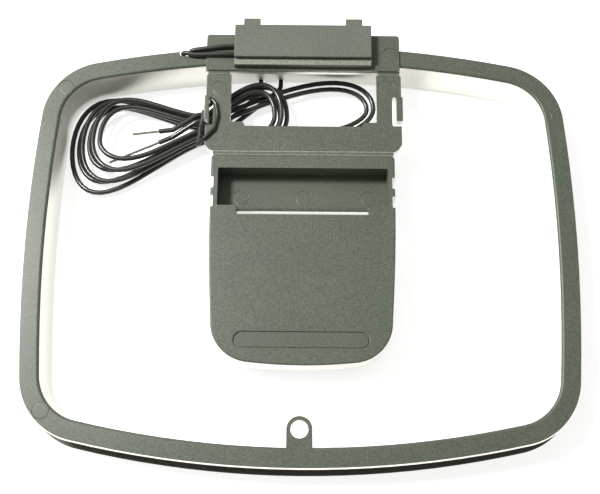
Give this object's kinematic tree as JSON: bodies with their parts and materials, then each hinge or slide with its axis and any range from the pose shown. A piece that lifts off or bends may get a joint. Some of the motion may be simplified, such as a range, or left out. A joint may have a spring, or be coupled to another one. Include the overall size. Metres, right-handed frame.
{
  "type": "loop antenna",
  "caption": "Rounded rectangular loop antenna for AM radio, its channel wound with wire, with a fold-out stand on film hinges and a twin lead tied in a hank.",
  "frame": {"origin": "under the middle of the object, on the surface that its back flange lies on", "axes": "+X across the loop to the right, +Y up the loop towards the terminal box and the stand's hinge, +Z out of the front; the object lies on its back"},
  "size_m": [0.1492, 0.1246, 0.0162],
  "materials": {
    "frame_plastic": "fine moulded texture",
    "cover_plastic": "fine moulded texture",
    "film_plastic": "smooth, paler where it bends",
    "enamelled_wire": "clear enamel over copper",
    "lead_insulation": "glossy",
    "tinned_copper": "bright tinned"
  },
  "bodies": {
    "loop": {"loop_frame": "frame_plastic", "terminal_cover": "cover_plastic", "film_hinge_left": "film_plastic", "film_hinge_right": "film_plastic", "winding": "enamelled_wire", "winding_tail_a": "lead_insulation", "winding_tail_b": "lead_insulation", "solder_joint_a": "tinned_copper", "solder_joint_b": "tinned_copper", "lead_a_start": "lead_insulation", "lead_b_start": "lead_insulation", "lead_a_hank": "lead_insulation", "lead_b_hank": "lead_insulation", "lead_a_end": "lead_insulation", "lead_b_end": "lead_insulation", "tinned_end_a": "tinned_copper", "tinned_end_b": "tinned_copper"},
    "link": {"stand_link": "frame_plastic", "film_hinge_base": "film_plastic", "hank_tie": "lead_insulation"},
    "base": {"base_plate": "frame_plastic"}
  },
  "joints": [
    {"name": "link_fold", "type": "hinge", "parent": "loop", "child": "link", "pos_m": [0, 0.04718, 0.012], "axis": [-1, 0, 0], "range_deg": [0, 123]},
    {"name": "base_fold", "type": "hinge", "parent": "link", "child": "base", "pos_m": [0, 0.02307, 0.012], "axis": [-1, 0, 0], "range_deg": [0, 147]}
  ]
}
